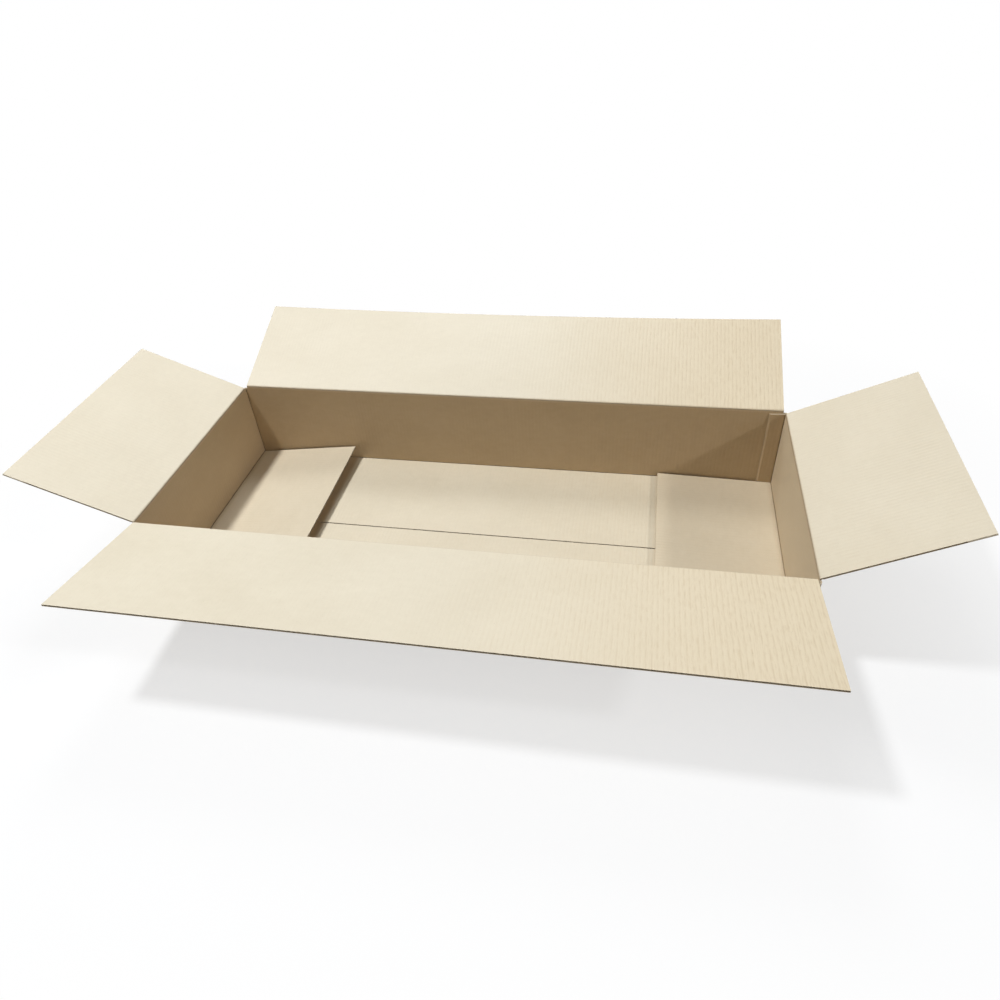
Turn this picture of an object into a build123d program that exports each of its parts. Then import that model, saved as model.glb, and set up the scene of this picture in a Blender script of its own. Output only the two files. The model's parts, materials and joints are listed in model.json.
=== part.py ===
from build123d import *

import os
from math import cos, radians, sin, tan

# Open slotted carton, folded from one sheet of single-wall corrugated board, in millimetres.
# +X runs along the box, +Y to the back and +Z up. The origin is on the floor, under the middle of the box.

# Board and inside sizes
board = 3.0
inside_length = 1000.0
inside_width = 400.0
inside_height = 148.0

# Gaps: between boards that lie on each other, between the edges of flaps that meet, and beside a flap's ends
clearance = 0.3
seam_gap = 2.0
slot_clearance = 0.5

# Slots between the flaps run on past the end flaps' creases by this much
slot_overcut = 1.5

# Glue lap inside the back wall's right end, with its two ends cut at a slight slant
lap_width = 26.0
lap_taper = 1.5

# Groove beside the back wall's cut edge, where the right wall folds in under it
joint_groove = 2.0

# Side of the square groove that the creasing rule pressed into the inside of each right-angled fold
fold_groove = 1.7
quarter_turn = 90.0

# Crushed creases of the top flaps: a round nose on each wall, and the angles of the crush on both sides
nose_radius = 0.7
crush_angle_inside = 42.0
crush_angle_outside = 20.0

# How the flaps stand, in degrees: top flaps from straight up, bottom end flaps from lying flat
front_lean = 81.0
back_lean = 67.5
left_lean = 67.5
right_lean = 62.5
left_lift = 6.0
right_lift = 1.7

# Heights of the folds: end flaps lie inside the long flaps, at the bottom and at the top
half_board = board / 2
lying_step = board + clearance
floor_height = board + lying_step
end_crease = floor_height + inside_height + half_board
long_crease = end_crease + lying_step
low_slot = floor_height + slot_overcut
high_slot = end_crease - slot_overcut

# The crush tapers the board over these lengths, and the end walls have their full thickness below it
crush_inside = half_board / tan(radians(crush_angle_inside))
crush_outside = half_board / tan(radians(crush_angle_outside))
full_wall_top = end_crease - crush_outside - clearance

# Places of the walls' middle planes, the widths of the creased edges between the slots, and the flaps' sizes
end_reach = inside_length / 2 + half_board
long_reach = inside_width / 2 + half_board
bottom_hinge_reach = inside_length / 2 - clearance
long_edge = inside_length - 2 * board
end_edge = inside_width - 2 * board
long_flap_width = long_edge - 2 * slot_clearance
end_flap_width = end_edge - 2 * slot_clearance
long_flap_depth = long_reach - seam_gap / 2
end_flap_depth = long_flap_depth + lying_step
outside_length = inside_length + 2 * board
outside_width = inside_width + 2 * board

front = Vector(0, -1, 0)
back = Vector(0, 1, 0)
left = Vector(-1, 0, 0)
right = Vector(1, 0, 0)
up = Vector(0, 0, 1)


def fold_plane(outward, reach, height, turn=0):
    """Section plane across a fold. X is outward and Y is up, both turned outward by an angle in degrees."""
    turned = outward * cos(radians(turn)) - up * sin(radians(turn))
    return Plane(origin=outward * reach + up * height, x_dir=turned, z_dir=outward.cross(up))


# One folded sheet: four walls, the glue lap and the two long bottom flaps
with BuildPart() as carton_body:
    # Walls between the slots, with the corners bent round the board's thickness
    with BuildSketch(Plane.XY.offset(low_slot)):
        RectangleRounded(outside_length, outside_width, board)
        Rectangle(inside_length, inside_width, mode=Mode.SUBTRACT)
        # The back wall ends in a straight cut at the glued corner
        with Locations((outside_length / 2, outside_width / 2)):
            Rectangle(board, board, align=(Align.MAX, Align.MAX))
        with BuildLine():
            Polyline(
                (outside_length / 2, inside_width / 2),
                (outside_length / 2 - joint_groove, inside_width / 2),
                (outside_length / 2, inside_width / 2 - joint_groove),
                close=True,
            )
        make_face(mode=Mode.SUBTRACT)
    extrude(amount=high_slot - low_slot)

    # Room for the end flaps' crushed edges between the corners
    with BuildSketch(Plane.XY.offset(full_wall_top)):
        Rectangle(outside_length, end_edge)
    extrude(amount=high_slot - full_wall_top, mode=Mode.SUBTRACT)

    # Long walls, each with its crushed top edge and its bottom flap folded in to the middle of the floor
    for outward in (front, back):
        with BuildSketch(fold_plane(outward, long_reach, long_crease)):
            with BuildLine():
                Line((-long_flap_depth, -long_crease), (-half_board, -long_crease))
                CenterArc((-half_board, board - long_crease), board, -quarter_turn, quarter_turn)
                Polyline(
                    (half_board, board - long_crease),
                    (half_board, -crush_outside),
                    (0, 0),
                    (-half_board, -crush_inside),
                    (-half_board, board - long_crease),
                    (-long_flap_depth, board - long_crease),
                    (-long_flap_depth, -long_crease),
                )
            make_face()
            Circle(nose_radius)
            with Locations((-half_board, board - long_crease)):
                Rectangle(fold_groove, fold_groove, rotation=quarter_turn / 2, mode=Mode.SUBTRACT)
        extrude(amount=long_edge / 2, both=True)

    # End walls, from just above the bottom end flaps to their own crushed top edges
    for outward in (left, right):
        with BuildSketch(fold_plane(outward, end_reach, end_crease)):
            with BuildLine():
                Polyline(
                    (half_board, floor_height + clearance - end_crease),
                    (half_board, -crush_outside),
                    (0, 0),
                    (-half_board, -crush_inside),
                    (-half_board, floor_height + clearance - end_crease),
                    close=True,
                )
            make_face()
            Circle(nose_radius)
        extrude(amount=end_edge / 2, both=True)

    # Glue lap: the right wall's edge, folded in and glued to the back wall
    with BuildSketch(Plane.XZ.offset(-inside_width / 2)):
        with BuildLine():
            Polyline(
                (inside_length / 2, low_slot),
                (inside_length / 2, high_slot),
                (inside_length / 2 - lap_width, high_slot - lap_taper),
                (inside_length / 2 - lap_width, low_slot + lap_taper),
                close=True,
            )
        make_face()
    extrude(amount=board)

    # Grooves inside the upright folds, the last one on the face of the lap
    with BuildSketch(Plane.XY.offset(low_slot)):
        with Locations(
            (-inside_length / 2, -inside_width / 2),
            (-inside_length / 2, inside_width / 2),
            (inside_length / 2, -inside_width / 2),
            (inside_length / 2, inside_width / 2 - board),
        ):
            Rectangle(fold_groove, fold_groove, rotation=quarter_turn / 2)
    extrude(amount=high_slot - low_slot, mode=Mode.SUBTRACT)


def make_top_flap(outward, reach, crease, lean, depth, width):
    """Board from a crushed seat round the wall's nose to a straight cut edge."""
    with BuildPart() as flap:
        with BuildSketch(fold_plane(outward, reach, crease, lean)):
            with BuildLine():
                Polyline(
                    (0, 0),
                    (half_board, crush_outside),
                    (half_board, depth),
                    (-half_board, depth),
                    (-half_board, crush_inside),
                    close=True,
                )
            make_face()
            Circle(nose_radius + clearance, mode=Mode.SUBTRACT)
        extrude(amount=width / 2, both=True)
    return flap


def make_bottom_flap(outward, lift):
    """Board that lies on the long bottom flaps, with the fold rounded under the end wall."""
    with BuildPart() as flap:
        with BuildSketch(fold_plane(outward, bottom_hinge_reach, floor_height, lift)):
            with BuildLine():
                CenterArc((0, 0), board, -quarter_turn, quarter_turn)
                Polyline((board, 0), (-end_flap_depth, 0), (-end_flap_depth, -board), (0, -board))
            make_face()
        extrude(amount=end_flap_width / 2, both=True)
    return flap


long_fold = dict(reach=long_reach, crease=long_crease, depth=long_flap_depth, width=long_flap_width)
end_fold = dict(reach=end_reach, crease=end_crease, depth=end_flap_depth, width=end_flap_width)
pieces = {
    "carton_body": carton_body,
    "top_flap_front": make_top_flap(front, lean=front_lean, **long_fold),
    "top_flap_back": make_top_flap(back, lean=back_lean, **long_fold),
    "top_flap_left": make_top_flap(left, lean=left_lean, **end_fold),
    "top_flap_right": make_top_flap(right, lean=right_lean, **end_fold),
    "bottom_flap_left": make_bottom_flap(left, left_lift),
    "bottom_flap_right": make_bottom_flap(right, right_lift),
}

os.makedirs("parts", exist_ok=True)
for name, piece in pieces.items():
    piece.part.label = name
    export_step(piece.part, f"parts/{name}.step")
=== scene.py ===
import json
from math import atan2, cos, pi, radians, sin, tan

import bmesh
import bpy
import numpy as np
from mathutils import Matrix, Vector


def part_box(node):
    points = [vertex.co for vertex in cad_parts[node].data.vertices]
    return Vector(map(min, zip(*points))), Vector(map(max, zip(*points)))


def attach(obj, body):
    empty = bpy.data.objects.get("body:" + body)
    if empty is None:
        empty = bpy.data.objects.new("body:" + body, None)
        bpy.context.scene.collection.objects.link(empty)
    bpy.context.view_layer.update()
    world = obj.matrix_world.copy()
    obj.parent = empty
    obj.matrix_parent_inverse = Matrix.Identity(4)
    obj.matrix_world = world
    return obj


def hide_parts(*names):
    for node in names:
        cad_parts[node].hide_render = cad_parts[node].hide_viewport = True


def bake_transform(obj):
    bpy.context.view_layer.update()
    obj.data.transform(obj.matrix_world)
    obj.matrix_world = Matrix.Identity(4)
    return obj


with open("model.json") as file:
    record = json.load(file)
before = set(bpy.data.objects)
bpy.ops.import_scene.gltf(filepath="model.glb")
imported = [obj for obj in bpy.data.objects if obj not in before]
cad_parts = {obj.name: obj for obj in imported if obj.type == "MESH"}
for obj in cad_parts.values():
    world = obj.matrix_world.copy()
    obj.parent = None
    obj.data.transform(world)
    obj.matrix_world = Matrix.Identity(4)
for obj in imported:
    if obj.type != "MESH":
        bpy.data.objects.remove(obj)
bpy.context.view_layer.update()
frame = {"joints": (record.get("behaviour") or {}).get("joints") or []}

# Open slotted carton of single-wall corrugated board, in metres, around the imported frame.
# Each piece is a folded board with two liners, open flutes at its cut edges and bent creases.

# Sizes from the frame
joints = {joint["name"]: joint for joint in frame["joints"]}
long_reach, long_crease = joints["back_fold"]["pos_m"][1:]
end_reach, _, end_crease = joints["right_fold"]["pos_m"]
hinge_reach, _, hinge_height = joints["floor_right_fold"]["pos_m"]
half_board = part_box("carton_body")[1].x - end_reach
board = 2 * half_board
inside_x = end_reach - half_board
inside_y = long_reach - half_board
end_flap_edge = -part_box("bottom_flap_left")[1].x
UP = np.array((0.0, 0.0, 1.0))

# Corrugated board: flutes, liners, the fluted sheet between them, and how deep the cut edges are open
flute_pitch = 0.00665
liner = 0.00026
medium = 0.00024
flute_contact = 1.18
mouth_depth = 0.009
slit_depth = 0.0016

# Washboard: how far the liners sink between flute tips, how uneven that is, and the waves that make it so,
# each with its share, its radians to the metre and its phase
washboard_sag = 0.00009
sag_uneven = 0.35
sag_waves = ((0.5, 41, 0), (0.3, 97, 1), (0.2, 213, 2))

# Mesh: columns to a flute and the least gap between two as a share of their step, rows over a crease, a
# fold and a flap, how a flap's rows crowd to the crease, the least rows of an open slit, and the angle in
# degrees of a sharp edge
flap_columns_per_flute = 8
wall_columns_per_flute = 6
column_gap_share = 0.4
crease_steps = 6
fold_steps = 6
flap_row_count = 9
flap_row_power = 1.5
slit_least_rows = 4
sharp_angle = 35

# Creases of the top flaps: the angle in degrees of the crush on the outside, where the pressed line starts
# on the inside, the rounds of the bend, the step to the row beside the crush, how far the crease reaches
# down the wall, and the stretch over which the liners come to their full waves
crush_angle = 20
crush_outside = half_board / tan(radians(crush_angle))
crush_inside = 0.0008
bend_inside = 0.0012
bend_outside = 0.0016
crease_support = 0.0004
collar = 0.0048
crease_fade = 0.012

# Right-angled folds: the groove's half width, depth and rounding, and how far from the fold a wall starts
# and has its full waves
fold_groove = 0.0011
fold_depth = 0.0017
groove_power = 0.7
fold_clear_share = 1.5
fold_clear = fold_clear_share * fold_groove
fold_fade = 0.007

# How hard the liner is pressed in a crease and how much painted shade darkens it there, where 1 is a cut
# edge, and how steeply that rises across a groove
crease_crush_and_shade = 1.6
groove_rise = 1.6

# Walls: the end walls' foot above the hinge in boards, tops and feet at the corners and between the slots,
# and heights of rows from foot and top
foot_share = 1.2
corner_top = long_crease - collar
corner_bottom = hinge_height - board
end_top = end_crease - collar
end_bottom = hinge_height + foot_share * board
long_edge = inside_x - board
end_edge = inside_y - board
rows_up = (0, 0.006, 0.03)
rows_down = (0.03, 0.008, 0)

# Glue lap: its width, the slant of its ends, its gap to the wall, and how its edge is pressed flat
lap_width = 0.026
lap_taper = 0.0015
lap_gap = 0.00005
lap_press = 0.0012
lap_pressed = 0.003

# Long bottom flaps: half the gap at the seam, rows beside the fold, and how far from the fold the liners'
# waves start and are full
seam_half = 0.001
floor_rows = (0.04, 0.012, 0.004)
floor_fade = (0.004, 0.012)

# Painted light on the board: its tone runs from 0, painted shade, on the walls' inside to 1, painted
# light, on the inside of the top flaps. The outside's own tone sits halfway. The floor and the end flaps
# take painted light, and so does the right wall, while the right bottom flap takes less than the left,
# as a painted shadow of the right wall. Last, half the width over which the floor turns to the walls'
# painted shade where an end flap covers it
outside_pale = 0.5
floor_painted_light = 0.95
left_flap_painted_light = 0.78
right_flap_painted_light = 0.66
right_wall_painted_light = 0.46
under_flap_shade_fade = 0.006

# How much the flutes show at the left and right of the pieces, and the stretch of the box's length over
# which that changes. The lines are the board's own, but their rise towards the right, and the browner tone
# it brings to the painted-light panels, are painted shade
body_lines = (0.15, 0.5)
long_flap_lines = (0.1, 1.0)
left_flap_lines = (0.15, 0.15)
right_flap_lines = (0.3, 0.3)
lines_start = -0.05
lines_end = 0.45

# Warps of the flaps: a bowed free edge, twisted corners and a sprung corner
back_bow = 0.008
right_twist = 0.005
left_spring = 0.005

# Numbers that make the paper of different panels differ
panels = {
    "lap": 1, "end": 2, "front": 3, "back": 4, "corner": 5,
    "front_flap": 11, "back_flap": 12, "left_flap": 13, "right_flap": 14,
    "floor_flap_left": 15, "floor_flap_right": 16,
}


def smooth(start, end, value):
    """Smooth step from 0 at start to 1 at end."""
    share = np.clip((value - start) / (end - start), 0, 1)
    return share * share * (3 - 2 * share)


def unit(vectors):
    """Vectors of length 1, and zero where there is none."""
    length = np.linalg.norm(vectors, axis=-1, keepdims=True)
    return vectors / np.where(length > 0, length, 1)


def runs(flags):
    """Start and end of each stretch of true values."""
    edges = np.flatnonzero(np.diff(np.concatenate(([0], flags.astype(int), [0]))))
    return list(zip(edges[::2], edges[1::2]))


def turned(point, angle):
    """A point of a section, outward and up, after its board leans outward by an angle."""
    x, y = point
    return np.array((x * cos(angle) + y * sin(angle), y * cos(angle) - x * sin(angle)))


def on_circle(radius, angle):
    """A point of a section on a circle round the crease."""
    return np.array((radius * cos(angle), radius * sin(angle)))


def flute_wave(along):
    """1 where the fluted sheet touches the outer liner and -1 where it touches the inner one."""
    return np.cos(2 * pi * along / flute_pitch)


def sag_depth(along):
    """How far the liner sinks between flute tips, a little uneven along the sheet."""
    uneven = sum(share * np.sin(along * rate + phase) for share, rate, phase in sag_waves)
    return washboard_sag * (1 + sag_uneven * uneven)


def columns_between(low, high, per_flute, stops=()):
    """Places along the sheet, two to each flute tip, with the two ends and the stops among them."""
    step = flute_pitch / per_flute
    regular = step * (np.arange(np.ceil(low / step), np.floor(high / step)) + 0.5)
    fixed = np.array([low, high, *stops])
    clear = np.abs(regular[:, None] - fixed[None, :]).min(axis=1) > column_gap_share * step
    return np.sort(np.concatenate((regular[clear], fixed)))


# Board mesh
def shade(mesh):
    """Turns the faces outward and shades them smooth, with sharp edges at the cuts."""
    shape = bmesh.new()
    shape.from_mesh(mesh)
    bmesh.ops.recalc_face_normals(shape, faces=shape.faces)
    shape.to_mesh(mesh)
    shape.free()
    mesh.shade_smooth()
    mesh.set_sharp_from_angle(angle=radians(sharp_angle))
    mesh.validate()


class BoardMesh:
    """Collects the points of a folded board, their places on the flat sheet, and its faces."""

    def __init__(self):
        self.points = []
        self.places = []
        self.cuts = []
        self.painted_lightnesses = []
        self.faces = []
        self.count = 0

    def add(self, points, places, cut, painted_lightness):
        """Adds points, with how cut, pressed and darkened by painted crease shade the board is there, how
        much painted light it takes, and gives their ids.
        """
        ids = self.count + np.arange(points.size // 3).reshape(points.shape[:-1])
        self.points.append(points.reshape(-1, 3))
        self.places.append(places.reshape(-1, 3))
        self.cuts.append(np.broadcast_to(cut, ids.shape).ravel())
        self.painted_lightnesses.append(np.broadcast_to(painted_lightness, ids.shape).ravel())
        self.count += ids.size
        return ids

    def strip(self, line_a, line_b):
        """Faces between two lines of ids. Repeated ids make triangles, or nothing."""
        for a, b, c, d in zip(line_a[:-1], line_a[1:], line_b[1:], line_b[:-1]):
            face = list(dict.fromkeys((int(a), int(b), int(c), int(d))))
            if len(face) > 2:
                self.faces.append(face)

    def finish(self, name, show):
        """Makes the piece, with its attributes. Show is how much the flutes show at its left and right."""
        points, places = np.concatenate(self.points), np.concatenate(self.places)
        cuts, painted_lightnesses = np.concatenate(self.cuts), np.concatenate(self.painted_lightnesses)
        used = sorted({i for face in self.faces for i in face})
        new_id = np.full(self.count, -1)
        new_id[used] = np.arange(len(used))
        faces = [[int(new_id[i]) for i in face] for face in self.faces]
        mesh = bpy.data.meshes.new(name)
        mesh.from_pydata(points[used].tolist(), [], faces)
        sheet = mesh.attributes.new("sheet", "FLOAT_VECTOR", "POINT")
        sheet.data.foreach_set("vector", places[used].ravel())
        # The flutes show more towards +x: stronger lines, and on the painted-light panels a browner painted
        # shade
        lines = show[0] + (show[1] - show[0]) * smooth(lines_start, lines_end, points[used][:, 0])
        for key, values in (("cut", cuts[used]), ("paler", painted_lightnesses[used]), ("lines", lines)):
            mesh.attributes.new(key, "FLOAT", "POINT").data.foreach_set("value", values)
        shade(mesh)
        piece = bpy.data.objects.new(name, mesh)
        bpy.context.scene.collection.objects.link(piece)
        return piece


def add_slit(mesh, line_in, line_out, deep_in, deep_out):
    """Open slit between the liners along a cut that follows the flutes, closed near its ends."""
    mesh.strip(line_in[:2], line_out[:2])
    mesh.strip(line_in[-2:], line_out[-2:])
    mesh.strip(line_in[1:-1], deep_in[1:-1])
    mesh.strip(deep_in[1:-1], deep_out[1:-1])
    mesh.strip(deep_out[1:-1], line_out[1:-1])
    for k in (1, -2):
        mesh.faces.append([int(i[k]) for i in (line_in, deep_in, deep_out, line_out)])


def add_mouths(mesh, band_in, band_out, points_in, points_out, inward, places, along):
    """Open flutes along a cut across them: the waved sheet between the liners, and the voids beside it."""
    across = points_out - points_in
    wave = np.clip(flute_contact * flute_wave(along), -1, 1)
    room = np.linalg.norm(across, axis=1) - medium
    low = points_in + unit(across) * (room * (wave + 1) / 2)[:, None]
    high = low + unit(across) * medium
    ends = np.zeros(len(wave), bool)
    ends[[0, -1]] = True
    shut_low = (wave <= -1) | ends
    shut_high = (wave >= 1) | ends
    low_ids = np.where(shut_low, band_in, mesh.add(low, places, 1, outside_pale))
    high_ids = np.where(shut_high, band_out, mesh.add(high, places, 1, outside_pale))
    mesh.strip(low_ids, high_ids)
    back = inward * mouth_depth
    for line_a, line_b, at_a, at_b, shut in (
        (band_in, low_ids, points_in, low, shut_low),
        (high_ids, band_out, high, points_out, shut_high),
    ):
        deep_a = mesh.add(at_a + back, places, 1, outside_pale)
        deep_b = mesh.add(at_b + back, places, 1, outside_pale)
        if line_b is band_out:
            deep_a = np.where(shut, deep_b, deep_a)
        else:
            deep_b = np.where(shut, deep_a, deep_b)
        for first, last in runs(~shut):
            stretch = slice(first - 1, last + 1)
            mesh.strip(line_a[stretch], deep_a[stretch])
            mesh.strip(deep_a[stretch], deep_b[stretch])
            mesh.strip(deep_b[stretch], line_b[stretch])


def build_board(name, inner, outer, places, along, cells, crush_and_shade, painted_lightness, mouth_rows, show):
    """Closed mesh of a folded board from two grids of points, columns by rows, and the cells that exist.
    Folds are pressed and darkened with painted shade, and painted light and shade vary the tone on the
    inside. Cuts in mouth_rows show open flutes, and long cuts beside a column show the slit between
    the liners."""
    mesh = BoardMesh()
    inner_ids = mesh.add(inner, places, crush_and_shade, painted_lightness)
    outer_ids = mesh.add(outer, places, 0, outside_pale)
    for i, j in zip(*np.nonzero(cells)):
        for ids in (inner_ids, outer_ids):
            corners = (ids[i, j], ids[i + 1, j], ids[i + 1, j + 1], ids[i, j + 1])
            mesh.faces.append([int(corner) for corner in corners])

    across = unit(outer - inner)
    points_in = inner + across * liner
    points_out = outer - across * liner
    band_in = mesh.add(points_in, places, 1, outside_pale)
    band_out = mesh.add(points_out, places, 1, outside_pale)
    padded = np.pad(cells, 1)

    for j in range(inner.shape[1]):
        below, above = padded[1:-1, j], padded[1:-1, j + 1]
        for first, last in runs(below != above):
            line = np.s_[first:last + 1, j]
            mesh.strip(inner_ids[line], band_in[line])
            mesh.strip(band_out[line], outer_ids[line])
            if j not in mouth_rows or last - first < wall_columns_per_flute:
                mesh.strip(band_in[line], band_out[line])
                continue
            beside = j + 1 if above[first] else j - 1
            inward = unit(inner[first:last + 1, beside] - inner[line])
            add_mouths(mesh, band_in[line], band_out[line], points_in[line], points_out[line],
                       inward, places[line], along[first:last + 1])

    for i in range(inner.shape[0]):
        before, after = padded[i, 1:-1], padded[i + 1, 1:-1]
        for first, last in runs(before != after):
            line = np.s_[i, first:last + 1]
            mesh.strip(inner_ids[line], band_in[line])
            mesh.strip(band_out[line], outer_ids[line])
            if last - first < slit_least_rows:
                mesh.strip(band_in[line], band_out[line])
                continue
            beside = i + 2 if after[first] else i - 2
            inward = unit(inner[beside, first:last + 1] - inner[line]) * slit_depth
            deep_in = mesh.add(points_in[line] + inward, places[line], 1, outside_pale)
            deep_out = mesh.add(points_out[line] + inward, places[line], 1, outside_pale)
            add_slit(mesh, band_in[line], band_out[line], deep_in, deep_out)
    return mesh.finish(name, show)


# Folds
def groove_point(share, normal_a, normal_b):
    """A point, from the fold's inner corner, of the groove that the crease leaves there."""
    aside = 2 * share - 1
    back = normal_b if aside < 0 else normal_a
    deep = fold_depth * (1 - abs(aside)) ** groove_power
    return deep * (normal_a + normal_b) / 2 ** 0.5 - abs(aside) * fold_groove * back


def groove_crush_and_shade(share):
    """How pressed the liner is across a groove, and how much painted shade darkens it."""
    return crease_crush_and_shade * min(1, groove_rise * (1 - abs(2 * share - 1)))


def right_fold(corner, normal_a, normal_b):
    """Inner and outer points round a right-angled fold of a wall's section, from one normal to the other."""
    corner, normal_a, normal_b = (np.array(x, float) for x in (corner, normal_a, normal_b))
    pairs = []
    for share in np.linspace(0, 1, fold_steps + 1):
        angle = share * pi / 2
        normal = normal_a * cos(angle) + normal_b * sin(angle)
        pairs.append((corner + groove_point(share, normal_a, normal_b), corner + board * normal))
    return pairs


class Fold:
    """A joint's crease: its axis, the way outward, and the limit that gives the flap's rest angle."""

    def __init__(self, joint_name):
        joint = joints[joint_name]
        self.origin = np.array(joint["pos_m"])
        self.along = np.array(joint["axis"], float)
        self.outward = np.cross(self.along, UP)
        self.low_limit = radians(joint["range_deg"][0])
        self.body = joint["child"]

    def place(self, section, along):
        """Points in the frame from points of the section and places along the crease, columns by rows."""
        across = section[:, :1] * self.outward + section[:, 1:] * UP
        return self.origin + along[:, None, None] * self.along + across[None, :, :]

    def reach(self, node, direction):
        """How far a node reaches from the crease in a direction."""
        low, high = (np.array(corner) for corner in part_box(node))
        return max((low - self.origin) @ direction, (high - self.origin) @ direction)


# Flaps
class Section:
    """Rows of a flap's section: points on both faces, depth on the sheet, and how pressed and darkened with
    painted shade the inside is.
    """

    def __init__(self):
        self.inner = []
        self.outer = []
        self.depths = []
        self.crush_and_shade = []

    def add(self, inner, outer, depth, crush_and_shade=0.0):
        """A row of the section."""
        self.inner.append(inner)
        self.outer.append(outer)
        self.depths.append(depth)
        self.crush_and_shade.append(crush_and_shade)


def flap_rows(first, last):
    """Places along a flap's depth, closer together near the crease."""
    shares = np.linspace(0, 1, flap_row_count + 1)[1:]
    return first + (last - first) * shares ** flap_row_power


def top_flap_section(lean, depth):
    """Rows from the crushed top of the wall, round the crease, to the flap's free edge."""
    rows = Section()
    support_in = crush_inside + crease_support
    support_out = crush_outside + crease_support
    middle = (crush_inside + crush_outside) / 2
    rows.add((-half_board, -collar), (half_board, -collar), -collar)
    rows.add((-half_board, -support_in), (half_board, -support_out), -crush_outside)
    # From here through the bend the pressed liner of the crease is darkened with painted shade
    rows.add((-half_board, -crush_inside), (half_board, -crush_outside), -middle, crease_crush_and_shade)
    kink_in = atan2(crush_inside, half_board)
    kink_out = atan2(crush_outside, half_board)
    for share in np.linspace(0, 1, crease_steps + 1):
        inner = on_circle(bend_inside, pi + kink_in - share * (2 * kink_in + lean))
        outer = on_circle(bend_outside, share * (2 * kink_out - lean) - kink_out)
        rows.add(inner, outer, (share - 0.5) * bend_inside, crease_crush_and_shade * (1 - share))
    rows.add(turned((-half_board, crush_inside), lean), turned((half_board, crush_outside), lean), middle)
    rows.add(turned((-half_board, support_in), lean), turned((half_board, support_out), lean), crush_outside)
    for v in flap_rows(support_out, depth):
        rows.add(turned((-half_board, v), lean), turned((half_board, v), lean), v)
    return rows


def bottom_flap_section(lift, depth):
    """Rows from the foot of the end wall, round the fold, to the flap's free edge."""
    rows = Section()
    wall_in = inside_x - hinge_reach
    wall_out = wall_in + board
    foot = end_bottom - hinge_height
    for height in (foot, foot / 2):
        rows.add((wall_in, height), (wall_out, height), -height)
    for share in np.linspace(0, 1, fold_steps + 1):
        wall_side = np.array((wall_in, 0)) * (1 - share)
        groove = groove_point(share, np.array((1, 0)), turned((0, -1), lift * share))
        outer = on_circle(wall_out + (board - wall_out) * share, -share * (pi / 2 + lift))
        # The groove's pressed liner is darkened with painted shade
        rows.add(wall_side + groove, outer, (share - 0.5) * fold_groove, groove_crush_and_shade(share))
    for v in flap_rows(2 * fold_groove, depth):
        rows.add(turned((-v, 0), lift), turned((-v, -board), lift), v)
    return rows


def flap_warp(across, down, bow, twist, spring):
    """A bow of the free edge to the outer side, a twist that brings its ends to different sides, and one
    corner sprung to the inner side."""
    warp = bow * (1 - across ** 2) * down ** 2 + twist * across * down
    return warp - spring * ((1 - across) / 2) ** 2 * down


def flap_faces(fold, section, along, normal, fade, warps):
    """Grids of a flap's two faces, with its warp and the liners' waves."""
    depths = np.array(section.depths)
    across = along[:, None] / np.abs(along).max()
    down = np.clip(depths / depths.max(), 0, 1)[None, :]
    warp = flap_warp(across, down, *warps)
    wave = flute_wave(along)[:, None]
    sag = sag_depth(along)[:, None] * fade[None, :]
    inner_shift = warp + sag * (1 + wave) / 2
    outer_shift = warp - sag * (1 - wave) / 2
    inner = fold.place(np.array(section.inner), along) + inner_shift[:, :, None] * normal
    outer = fold.place(np.array(section.outer), along) + outer_shift[:, :, None] * normal
    return inner, outer


def flap_board(name, node, fold, section, normal, fade, painted_lightness, show, warps):
    """Mesh of a flap from its section, as wide as its node."""
    half_width = fold.reach(node, fold.along)
    along = columns_between(-half_width, half_width, flap_columns_per_flute)
    inner, outer = flap_faces(fold, section, along, normal, fade, warps)
    rows = len(section.depths)
    places = np.zeros((len(along), rows, 3))
    places[:, :, 0] = along[:, None]
    places[:, :, 1] = section.depths
    places[:, :, 2] = panels[name]
    cells = np.ones((len(along) - 1, rows - 1), bool)
    crush_and_shade = np.array(section.crush_and_shade)
    return build_board(name, inner, outer, places, along, cells, crush_and_shade, painted_lightness, {rows - 1}, show)


def finish_flap(piece, material, node):
    """Gives a flap its material, bakes its place into its mesh and hides the imported part it stands for."""
    piece.data.materials.append(material)
    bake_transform(piece)
    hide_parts(node)


def make_top_flap(name, node, joint_name, show, bow=0.0, twist=0.0):
    """Top flap with the crushed top of its wall, bent over the crease."""
    fold = Fold(joint_name)
    lean = -fold.low_limit - pi / 2
    depth = (fold.reach(node, fold.outward) - half_board * cos(lean)) / sin(lean)
    section = top_flap_section(lean, depth)
    depths = np.array(section.depths)
    fade = smooth(crush_outside, crush_outside + crease_fade, np.abs(depths))
    # Painted light on the flap's inside, and painted shade on the top of its wall
    painted_lightness = smooth(-bend_inside, bend_inside, depths)
    normal = fold.outward * cos(lean) - UP * sin(lean)
    piece = flap_board(name, node, fold, section, normal, fade, painted_lightness, show, (bow, twist, 0))
    finish_flap(piece, flap_kraft, node)


def make_bottom_flap(name, node, joint_name, show, tone, spring=0.0):
    """Bottom end flap with the foot of its wall, folded in over the floor."""
    fold = Fold(joint_name)
    lift = -fold.low_limit
    depth = (fold.reach(node, -fold.outward) - board * sin(lift)) / cos(lift)
    section = bottom_flap_section(lift, depth)
    depths = np.array(section.depths)
    fade = smooth(board, board + crease_fade, np.abs(depths))
    # Painted light on the flap's inside, as much as its tone gives, and painted shade on the foot of its
    # wall
    painted_lightness = tone * smooth(-fold_groove, fold_groove, depths)
    normal = -UP * cos(lift) - fold.outward * sin(lift)
    piece = flap_board(name, node, fold, section, normal, fade, painted_lightness, show, (0, 0, spring))
    finish_flap(piece, body_kraft, node)


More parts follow.
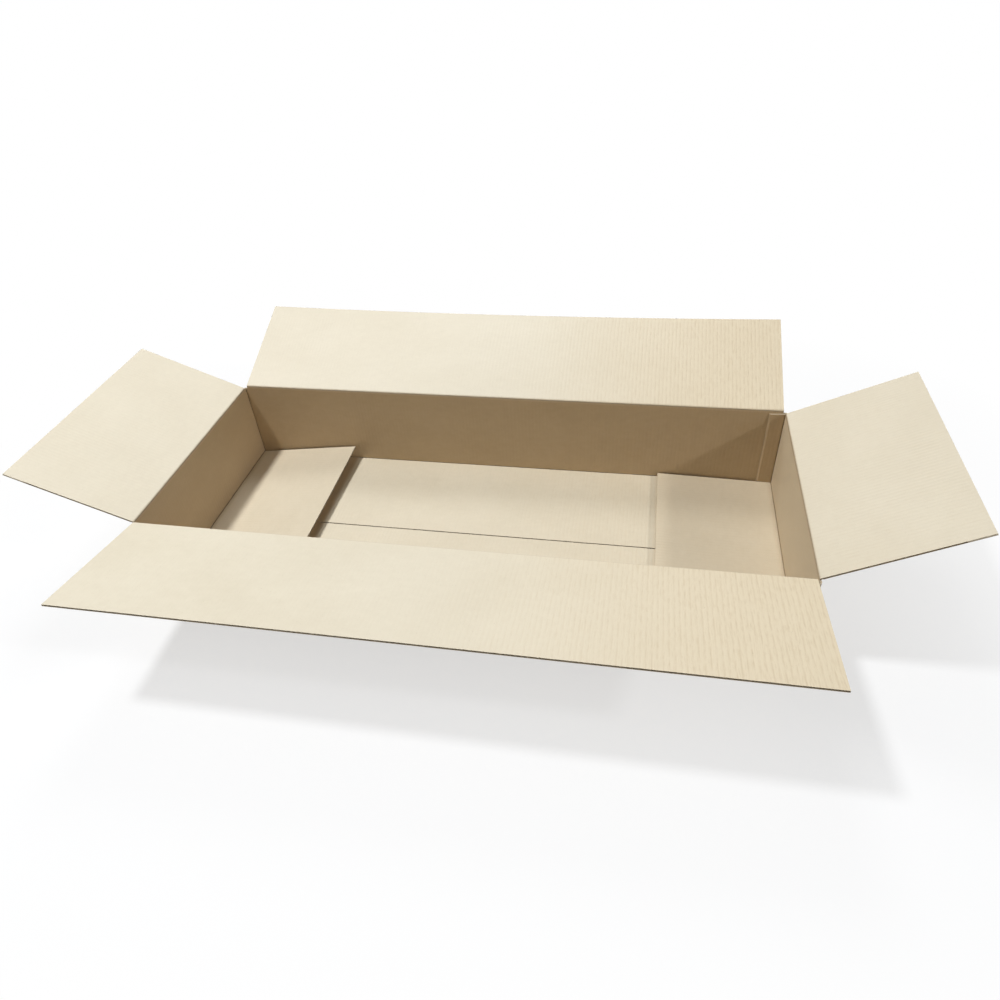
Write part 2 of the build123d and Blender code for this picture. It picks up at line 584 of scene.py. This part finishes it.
# Carton
class WallColumns:
    """Columns of points in plan round the carton, from the glue lap's edge to the back wall's end."""

    def __init__(self):
        self.inner = []
        self.outer = []
        self.normal = []
        self.along = []
        self.fade = []
        self.zone = []
        self.crush_and_shade = []

    def add(self, inner, outer, normal, along, fade, zone, crush_and_shade=0.0):
        """A column: points on both faces, place along the sheet, share of the full waves, and its zone."""
        self.inner.append(inner)
        self.outer.append(outer)
        self.normal.append(normal)
        self.along.append(along)
        self.fade.append(fade)
        self.zone.append(zone)
        self.crush_and_shade.append(crush_and_shade)

    def wall(self, middle, direction, normal, low, high, zone, stops=()):
        """A straight wall, by its inner face's middle, its direction of travel and its outward normal."""
        middle, direction, normal = (np.array(x, float) for x in (middle, direction, normal))
        for t in columns_between(low, high, wall_columns_per_flute, stops):
            point = middle + direction * t
            fade = smooth(0, fold_fade, min(t - low, high - t))
            self.add(point, point + board * normal, normal, t, fade, zone)

    def corner(self, corner, normal_a, normal_b, at_a, at_b):
        """A folded corner between two walls, with the places along the sheet where these end."""
        for k, (inner, outer) in enumerate(right_fold(corner, normal_a, normal_b)):
            share = k / fold_steps
            at = at_a if share < 0.5 else at_b
            # The corner's groove is pressed and darkened with painted shade
            self.add(inner, outer, np.zeros(2), at, 0.0, "corner", groove_crush_and_shade(share))


def wall_columns():
    """The glue lap, then the right, front, left and back walls, with the corners between them."""
    columns = WallColumns()
    right, left, front, back = (1, 0), (-1, 0), (0, -1), (0, 1)
    x, y, clear = inside_x, inside_y, fold_clear
    lap_face = y - board - lap_gap
    columns.wall((x, lap_face), right, back, -lap_width, -clear, "lap")
    for point in columns.inner:
        point[1] += lap_press * (1 - smooth(0, lap_pressed, point[0] - x + lap_width))
    columns.corner((x, lap_face), back, right, 0, y)
    columns.wall((x, 0), front, right, -lap_face + clear, y - clear, "end", (-end_edge, end_edge))
    columns.corner((x, -y), right, front, y, -x)
    columns.wall((0, -y), left, front, -x + clear, x - clear, "front", (-long_edge, long_edge))
    columns.corner((-x, -y), front, left, x, -y)
    columns.wall((-x, 0), back, left, -y + clear, y - clear, "end", (-end_edge, end_edge))
    columns.corner((-x, y), left, back, y, -x)
    columns.wall((0, y), right, back, -x + clear, x + board, "back", (-long_edge, long_edge))
    return columns


def floor_section():
    """Inner and outer points of a long bottom flap, outward and up, from the seam to its wall's foot."""
    pairs = []
    for y in (seam_half, *(inside_y - inset for inset in floor_rows)):
        pairs.append((np.array((y, board)), np.array((y, 0.0))))
    return pairs + right_fold((inside_y, board), (0, -1), (1, 0))


def lap_heights(along, heights):
    """Heights of the rows on the glue lap, whose ends are cut at a slant."""
    taper = -along / lap_width
    low = corner_bottom + lap_taper * taper
    high = corner_top - lap_taper * taper
    return low + (high - low) * (heights - corner_bottom) / (corner_top - corner_bottom)


def place_walls(columns, heights, first, inner, outer, places):
    """Puts the walls into the grids from their first row up, with the liners' waves."""
    row_fade = smooth(collar, collar + crease_fade, long_crease - heights)
    row_fade *= smooth(0, crease_fade, heights - board)
    for i, (zone, along) in enumerate(zip(columns.zone, columns.along)):
        z = lap_heights(along, heights) if zone == "lap" else heights
        wave = flute_wave(along)
        sag = sag_depth(along) * columns.fade[i] * row_fade
        inner_shift = sag * (1 + wave) / 2
        outer_shift = -sag * (1 - wave) / 2
        inner[i, first:, :2] = columns.inner[i] + inner_shift[:, None] * columns.normal[i]
        outer[i, first:, :2] = columns.outer[i] + outer_shift[:, None] * columns.normal[i]
        inner[i, first:, 2] = z
        outer[i, first:, 2] = z
        places[i, :, 0] = along
        places[i, first:, 1] = z - long_crease
        places[i, :, 2] = panels[zone]


def place_floor(columns, section, inner, outer, places):
    """Puts the long bottom flaps into the grids, below the front and back walls."""
    for i, (zone, along) in enumerate(zip(columns.zone, columns.along)):
        if zone not in ("front", "back"):
            continue
        outward = -1 if zone == "front" else 1
        x = columns.inner[i][0]
        wave = flute_wave(along)
        for j, (at_in, at_out) in enumerate(section):
            from_fold = abs(at_in[0] - inside_y)
            sag = sag_depth(along) * smooth(*floor_fade, from_fold)
            inner[i, j] = (x, outward * at_in[0], at_in[1] - sag * (1 + wave) / 2)
            outer[i, j] = (x, outward * at_out[0], at_out[1] + sag * (1 - wave) / 2)
            places[i, j, 1] = -long_crease - from_fold


def carton_cells(zone, along, heights, first):
    """Cells that exist: walls all round, cut back between the end slots, and floor below the long walls."""
    same = zone[:-1] == zone[1:]
    middle = np.abs((along[:-1] + along[1:]) / 2)
    in_long_edge = same & np.isin(zone[:-1], ("front", "back")) & (middle < long_edge)
    in_end_edge = same & (zone[:-1] == "end") & (middle < end_edge)
    row_middle = (heights[:-1] + heights[1:]) / 2
    end_rows = (row_middle > end_bottom) & (row_middle < end_top)
    cells = np.zeros((len(zone) - 1, first + len(heights) - 1), bool)
    cells[:, :first] = in_long_edge[:, None]
    cells[:, first:] = ~in_end_edge[:, None] | end_rows
    return cells


def carton_crush_and_shade(columns, shape, first):
    """How pressed and darkened with painted shade the inside is: in the upright folds, and in those of the
    long bottom flaps.
    """
    crush_and_shade = np.zeros(shape)
    crush_and_shade[:, first:] = np.array(columns.crush_and_shade)[:, None]
    fold_rows = np.arange(first - fold_steps - 1, first)
    crush_and_shade[:, fold_rows] = [groove_crush_and_shade(share) for share in np.linspace(0, 1, fold_steps + 1)]
    return crush_and_shade


def carton_painted_light(columns, zone, along, shape, first):
    """Painted light on the inside: some on the right wall and most on the floor, which fades to painted
    shade across its folds and under the end flaps; the other walls keep painted shade.
    """
    painted_lightness = np.zeros(shape)
    right_wall = (zone == "end") & (np.array(columns.inner)[:, 0] > 0)
    painted_lightness[right_wall] = right_wall_painted_light
    # Painted shade under the end flaps: the floor there keeps the walls' painted shade
    under_flap_shade = smooth(-under_flap_shade_fade, under_flap_shade_fade, np.abs(along) - end_flap_edge)
    fold_share = np.clip((first - 1 - np.arange(first)) / fold_steps, 0, 1)
    painted_lightness[:, :first] = (floor_painted_light - floor_painted_light * under_flap_shade)[:, None] * fold_share
    return painted_lightness


def make_carton(name, show):
    """Four walls, the glue lap and the two long bottom flaps, folded from one sheet."""
    columns = wall_columns()
    zone, along = np.array(columns.zone), np.array(columns.along)
    low_rows = [end_bottom + up for up in rows_up]
    high_rows = [end_top - down for down in rows_down]
    heights = np.array([corner_bottom, *low_rows, *high_rows, corner_top])
    section = floor_section()
    first = len(section)
    shape = (len(zone), first + len(heights))
    inner, outer, places = (np.zeros((*shape, 3)) for _ in range(3))
    place_walls(columns, heights, first, inner, outer, places)
    place_floor(columns, section, inner, outer, places)
    cells = carton_cells(zone, along, heights, first)
    crush_and_shade = carton_crush_and_shade(columns, shape, first)
    painted_lightness = carton_painted_light(columns, zone, along, shape, first)
    piece = build_board(name, inner, outer, places, along, cells, crush_and_shade, painted_lightness, {0}, show)
    piece.data.materials.append(body_kraft)
    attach(piece, "carton")
    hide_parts("carton_body")


# Shader nodes
def shader_node(tree, kind, **values):
    """A shader node with values for its settings and, by name, for its sockets."""
    made = tree.nodes.new(kind)
    for key, value in values.items():
        if hasattr(made, key):
            setattr(made, key, value)
        else:
            made.inputs[key.replace("_", " ")].default_value = value
    return made


def attribute(tree, name, output="Fac"):
    """An attribute of the mesh."""
    return shader_node(tree, "ShaderNodeAttribute", attribute_name=name).outputs[output]


def maths(tree, operation, *values):
    """A calculation on sockets and numbers."""
    made = shader_node(tree, "ShaderNodeMath", operation=operation)
    for socket, value in zip(made.inputs, values):
        if isinstance(value, (int, float)):
            socket.default_value = value
        else:
            tree.links.new(value, socket)
    return made.outputs[0]


def times(tree, value_a, value_b):
    """Two values multiplied."""
    return maths(tree, "MULTIPLY", value_a, value_b)


def vector_maths(tree, operation, *values, output="Vector"):
    """A calculation on vectors, each a socket or a value."""
    made = shader_node(tree, "ShaderNodeVectorMath", operation=operation)
    for socket, value in zip(made.inputs, values):
        if isinstance(value, (tuple, Vector)):
            socket.default_value = value
        else:
            tree.links.new(value, socket)
    return made.outputs[output]


def noise(tree, place, scales, detail, roughness=0.6):
    """Noise over the flat sheet, with a scale along the crease, along the flutes and between panels."""
    made = shader_node(tree, "ShaderNodeTexNoise", Scale=1.0, Detail=detail, Roughness=roughness)
    tree.links.new(vector_maths(tree, "MULTIPLY", place, scales), made.inputs["Vector"])
    return made.outputs["Fac"]


def ranged(tree, value, low, high, to_low, to_high):
    """A value taken from one range to another, and held at its ends."""
    made = shader_node(
        tree, "ShaderNodeMapRange", From_Min=low, From_Max=high, To_Min=to_low, To_Max=to_high)
    tree.links.new(value, made.inputs["Value"])
    return made.outputs["Result"]


def mixed(tree, factor, colour_a, colour_b):
    """A mix of two colours, each a socket or a value."""
    made = shader_node(tree, "ShaderNodeMix", data_type="RGBA")
    tree.links.new(factor, made.inputs[0])
    for socket, colour in ((made.inputs[6], colour_a), (made.inputs[7], colour_b)):
        if isinstance(colour, tuple):
            socket.default_value = (*colour, 1)
        else:
            tree.links.new(colour, socket)
    return made.outputs[2]


# Kraft colours: painted shade for the walls' inside and painted light for the top flaps' inside, the
# browner painted shade where the flutes show, their lines, specks, cut edges, and the creases' painted shade
shaded_wall_dark = (0.452, 0.332, 0.193)
shaded_wall_light = (0.502, 0.375, 0.228)
lit_flap_dark = (0.665, 0.595, 0.452)
lit_flap_light = (0.725, 0.658, 0.514)
kraft_shade_brown = (0.76, 0.61, 0.39)
kraft_line = (0.54, 0.41, 0.245)
kraft_speck = (0.36, 0.28, 0.18)
kraft_cut = (0.46, 0.37, 0.25)
kraft_crush_and_shade = (0.2, 0.145, 0.085)

# How strong the browner painted shade, the lines, what is left of them where they break, the streaks
# between them, the specks, the cut edges' tone and the creases' painted shade are, and how far the lines
# wander
flute_shade_brown = 0.5
flute_line = 0.36
flute_break = 0.15
flute_streak = 0.34
speck_shade = 0.6
cut_edge = 0.75
crease_shade = 0.8
flute_wander = 0.0008

# Scales of the noise along the crease, along the flutes and between panels
cloud_scale = (7, 10, 3.7)
mottle_scale = (70, 110, 5.3)
grain_scale = (260, 210, 4.1)
fibre_scale = (420, 1500, 7.1)
speck_scale = (900, 1100, 9.7)
wander_scale = (160, 45, 6.1)
break_scale = (230, 80, 8.3)
streak_scale = (620, 60, 2.9)

# Shares of the noise in the tone, and the ranges over which tone, lines, breaks, streaks, specks and gloss
# change
cloud_share = 0.4
mottle_share = 0.35
fibre_share = 0.25
tone_range = (0.36, 0.64)
line_range = (0.2, 1.0)
break_range = (0.38, 0.6)
streak_range = (0.5, 0.72)
speck_range = (0.74, 0.78)
gloss_range = (0.3, 0.7)

# Roughness of the paper, the heights of its bumps in metres, and its shine on the top flaps and on the rest
paper_roughness = (0.5, 0.64)
grain_height = 0.00012
fibre_height = 0.000015
line_height = 0.00008
flap_shine = 0.75
body_shine = 0.35


def flute_lines(tree, sheet, lines):
    """Broken lines over the flute tips, as strong as the flutes show."""
    along = shader_node(tree, "ShaderNodeSeparateXYZ")
    tree.links.new(sheet, along.inputs[0])
    wander = ranged(tree, noise(tree, sheet, wander_scale, detail=2), 0, 1, -flute_wander, flute_wander)
    place = maths(tree, "ADD", along.outputs["X"], wander)
    flute = maths(tree, "COSINE", times(tree, place, 2 * pi / flute_pitch))
    broken = ranged(tree, noise(tree, sheet, break_scale, detail=3), *break_range, flute_break, 1)
    line = times(tree, ranged(tree, flute, *line_range, 0, 1), broken)
    return times(tree, line, lines)


def paper_tone(tree, sheet, mottle, fibre):
    """Cloudy tone of the paper, from 0 at its darkest to 1 at its lightest."""
    cloud = noise(tree, sheet, cloud_scale, detail=3, roughness=0.55)
    tone = maths(tree, "ADD", times(tree, cloud, cloud_share), times(tree, mottle, mottle_share))
    tone = maths(tree, "ADD", tone, times(tree, fibre, fibre_share))
    return ranged(tree, tone, *tone_range, 0, 1)


def paper_colour(tree, sheet, tone, line, lines):
    """Kraft colour: painted shade on the walls, painted light on the top flaps and floor, a browner painted
    shade where the flutes show, their lines and streaks, rare specks, cut edges, and painted shade in the
    creases.
    """
    cut = attribute(tree, "cut")
    paler = attribute(tree, "paler")
    # Painted shade on the walls and painted light on the flaps and floor, mixed by the painted light share
    walls = mixed(tree, tone, shaded_wall_dark, shaded_wall_light)
    flaps = mixed(tree, tone, lit_flap_dark, lit_flap_light)
    colour = mixed(tree, paler, walls, flaps)
    # Browner painted shade where the flutes show, on the painted-light panels
    browner = times(tree, times(tree, lines, paler), flute_shade_brown)
    colour = mixed(tree, browner, colour, kraft_shade_brown)
    colour = mixed(tree, times(tree, line, flute_line), colour, kraft_line)
    streak = noise(tree, sheet, streak_scale, detail=2)
    streaks = times(tree, ranged(tree, streak, *streak_range, 0, flute_streak), lines)
    colour = mixed(tree, streaks, colour, kraft_line)
    speck = noise(tree, sheet, speck_scale, detail=1, roughness=0.5)
    colour = mixed(tree, ranged(tree, speck, *speck_range, 0, speck_shade), colour, kraft_speck)
    colour = mixed(tree, times(tree, cut, cut_edge), colour, kraft_cut)
    # Creases: the pressed liner darkened with painted shade
    return mixed(tree, ranged(tree, cut, 1, crease_crush_and_shade, 0, crease_shade), colour, kraft_crush_and_shade)


def paper_bump(tree, sheet, fibre, line):
    """Fine relief of grain and fibres, with the lines sunk in."""
    grain = noise(tree, sheet, grain_scale, detail=3)
    height = times(tree, grain, grain_height)
    height = maths(tree, "ADD", height, times(tree, fibre, fibre_height))
    height = maths(tree, "SUBTRACT", height, times(tree, line, line_height))
    bump = shader_node(tree, "ShaderNodeBump", Strength=1.0, Distance=1.0)
    tree.links.new(height, bump.inputs["Height"])
    return bump.outputs["Normal"]


def make_kraft(name, shine):
    """Brown kraft liner: cloudy tone, fibres, faint lines over the flutes, specks and browner cut edges,
    with painted light and shade on its panels and painted shade in its creases.
    """
    material = bpy.data.materials.new(name)
    material.use_nodes = True
    tree = material.node_tree
    shader = tree.nodes["Principled BSDF"]
    sheet = attribute(tree, "sheet", "Vector")
    lines = attribute(tree, "lines")
    mottle = noise(tree, sheet, mottle_scale, detail=4)
    fibre = noise(tree, sheet, fibre_scale, detail=3)
    line = flute_lines(tree, sheet, lines)
    tone = paper_tone(tree, sheet, mottle, fibre)
    tree.links.new(paper_colour(tree, sheet, tone, line, lines), shader.inputs["Base Color"])
    tree.links.new(ranged(tree, mottle, *gloss_range, *paper_roughness), shader.inputs["Roughness"])
    tree.links.new(paper_bump(tree, sheet, fibre, line), shader.inputs["Normal"])
    shader.inputs["Specular IOR Level"].default_value = shine
    return material


# Pieces
flap_kraft = make_kraft("kraft_flaps", flap_shine)
body_kraft = make_kraft("kraft_body", body_shine)

make_carton("carton", body_lines)
make_top_flap("front_flap", "top_flap_front", "front_fold", long_flap_lines)
make_top_flap("back_flap", "top_flap_back", "back_fold", long_flap_lines, bow=back_bow)
make_top_flap("left_flap", "top_flap_left", "left_fold", left_flap_lines)
make_top_flap("right_flap", "top_flap_right", "right_fold", right_flap_lines, twist=right_twist)
make_bottom_flap("floor_flap_left", "bottom_flap_left", "floor_left_fold", left_flap_lines,
                 left_flap_painted_light, spring=left_spring)
make_bottom_flap("floor_flap_right", "bottom_flap_right", "floor_right_fold", right_flap_lines,
                 right_flap_painted_light)

# Camera: place in metres, heading from +Y to +X, pitch below the horizon and roll in radians, and the focal
# length as a share of the sensor's width
camera_place = Vector((0.24942, -0.93405, 0.88048))
camera_heading = -0.2259
camera_pitch = 0.6922
camera_roll = 0.0752
focal_share = 0.74302


def make_camera():
    """Camera that looks down into the box from the front."""
    data = bpy.data.cameras.new("camera")
    data.lens = focal_share * data.sensor_width
    forward = Vector((
        sin(camera_heading) * cos(camera_pitch),
        cos(camera_heading) * cos(camera_pitch),
        -sin(camera_pitch),
    ))
    level = Vector((cos(camera_heading), -sin(camera_heading), 0))
    down = forward.cross(level)
    right = level * cos(camera_roll) + down * sin(camera_roll)
    camera = bpy.data.objects.new("camera", data)
    axes = Matrix((right, right.cross(forward), -forward)).transposed()
    camera.matrix_world = Matrix.Translation(camera_place) @ axes.to_4x4()
    bpy.context.scene.collection.objects.link(camera)
    bpy.context.scene.camera = camera


make_camera()

# Lamps: place, width and power, in metres and watts. They light a level surface to about 1, at which a
# colour renders about as it is written.
lamp_colour = (0.98, 1.0, 1.03)
lamps = {
    "key": ((-1.6, -0.35, 4.0), 0.5, 138),
    "back": ((-0.6, 2.4, 3.2), 1.4, 42),
    "side": ((3.6, -1.2, 2.55), 0.3, 50),
}


def make_lamp(name, place, width, power):
    """Round soft lamp that faces the origin."""
    data = bpy.data.lights.new(name, "AREA")
    data.shape = "DISK"
    data.size = width
    data.energy = power
    data.color = lamp_colour
    lamp = bpy.data.objects.new(name, data)
    lamp.location = place
    lamp.rotation_mode = "QUATERNION"
    lamp.rotation_quaternion = (-Vector(place)).to_track_quat("-Z", "Y")
    bpy.context.scene.collection.objects.link(lamp)


for lamp_name, (lamp_place, lamp_width, lamp_power) in lamps.items():
    make_lamp(lamp_name, lamp_place, lamp_width, lamp_power)

# World: strength of the faint even light on the object
ambient = 0.02


def seen_by_camera(tree):
    """1 for rays from the camera, and for those that mirrors and clear things pass on."""
    path = tree.nodes.new("ShaderNodeLightPath")
    direct = maths(tree, "MAXIMUM", path.outputs["Is Camera Ray"], path.outputs["Is Glossy Ray"])
    return maths(tree, "MAXIMUM", direct, path.outputs["Is Transmission Ray"])


def make_world():
    """White to the camera, and a faint even light on the object."""
    world = bpy.data.worlds.new("world")
    world.use_nodes = True
    tree = world.node_tree
    background = tree.nodes["Background"]
    background.inputs["Color"].default_value = (1, 1, 1, 1)
    tree.links.new(ranged(tree, seen_by_camera(tree), 0, 1, ambient, 1), background.inputs["Strength"])
    bpy.context.scene.world = world


make_world()

# Floor: plain white board that takes the box's shadow, and turns to pure white further out
floor_half = 8.0
floor_colour = (0.93, 0.93, 0.93, 1)
floor_roughness = 0.9
shadow_reach = Vector((end_reach, long_reach, 0))
fade_start = 0.03
fade_end = 0.6
floor_glow = 0.62


def beyond_box(tree):
    """How far a point of the floor lies outside the box's plan."""
    place = shader_node(tree, "ShaderNodeNewGeometry").outputs["Position"]
    beyond = vector_maths(tree, "SUBTRACT", vector_maths(tree, "ABSOLUTE", place), shadow_reach)
    outside = vector_maths(tree, "MAXIMUM", beyond, Vector((0, 0, 0)))
    return vector_maths(tree, "LENGTH", outside, output="Value")


def make_floor_material():
    """White board near the box, mixed with plain white for the camera, more of it further out."""
    material = bpy.data.materials.new("floor")
    material.use_nodes = True
    tree = material.node_tree
    shader = tree.nodes["Principled BSDF"]
    shader.inputs["Base Color"].default_value = floor_colour
    shader.inputs["Roughness"].default_value = floor_roughness
    shader.inputs["Specular IOR Level"].default_value = 0.0
    distance = beyond_box(tree)
    near = ranged(tree, distance, 0, fade_start, 0, floor_glow)
    far = ranged(tree, distance, fade_start, fade_end, 0, 1 - floor_glow)
    white = shader_node(tree, "ShaderNodeEmission", Strength=1.0)
    mix = tree.nodes.new("ShaderNodeMixShader")
    tree.links.new(times(tree, maths(tree, "ADD", near, far), seen_by_camera(tree)), mix.inputs[0])
    tree.links.new(shader.outputs[0], mix.inputs[1])
    tree.links.new(white.outputs[0], mix.inputs[2])
    tree.links.new(mix.outputs[0], tree.nodes["Material Output"].inputs["Surface"])
    return material


def make_floor():
    """Square floor that isn't part of the object."""
    mesh = bpy.data.meshes.new("floor")
    corners = [(x * floor_half, y * floor_half, 0) for x, y in ((-1, -1), (1, -1), (1, 1), (-1, 1))]
    mesh.from_pydata(corners, [], [(0, 1, 2, 3)])
    mesh.materials.append(make_floor_material())
    floor = bpy.data.objects.new("floor", mesh)
    bpy.context.scene.collection.objects.link(floor)


make_floor()
bpy.context.scene.view_settings.view_transform = "Standard"
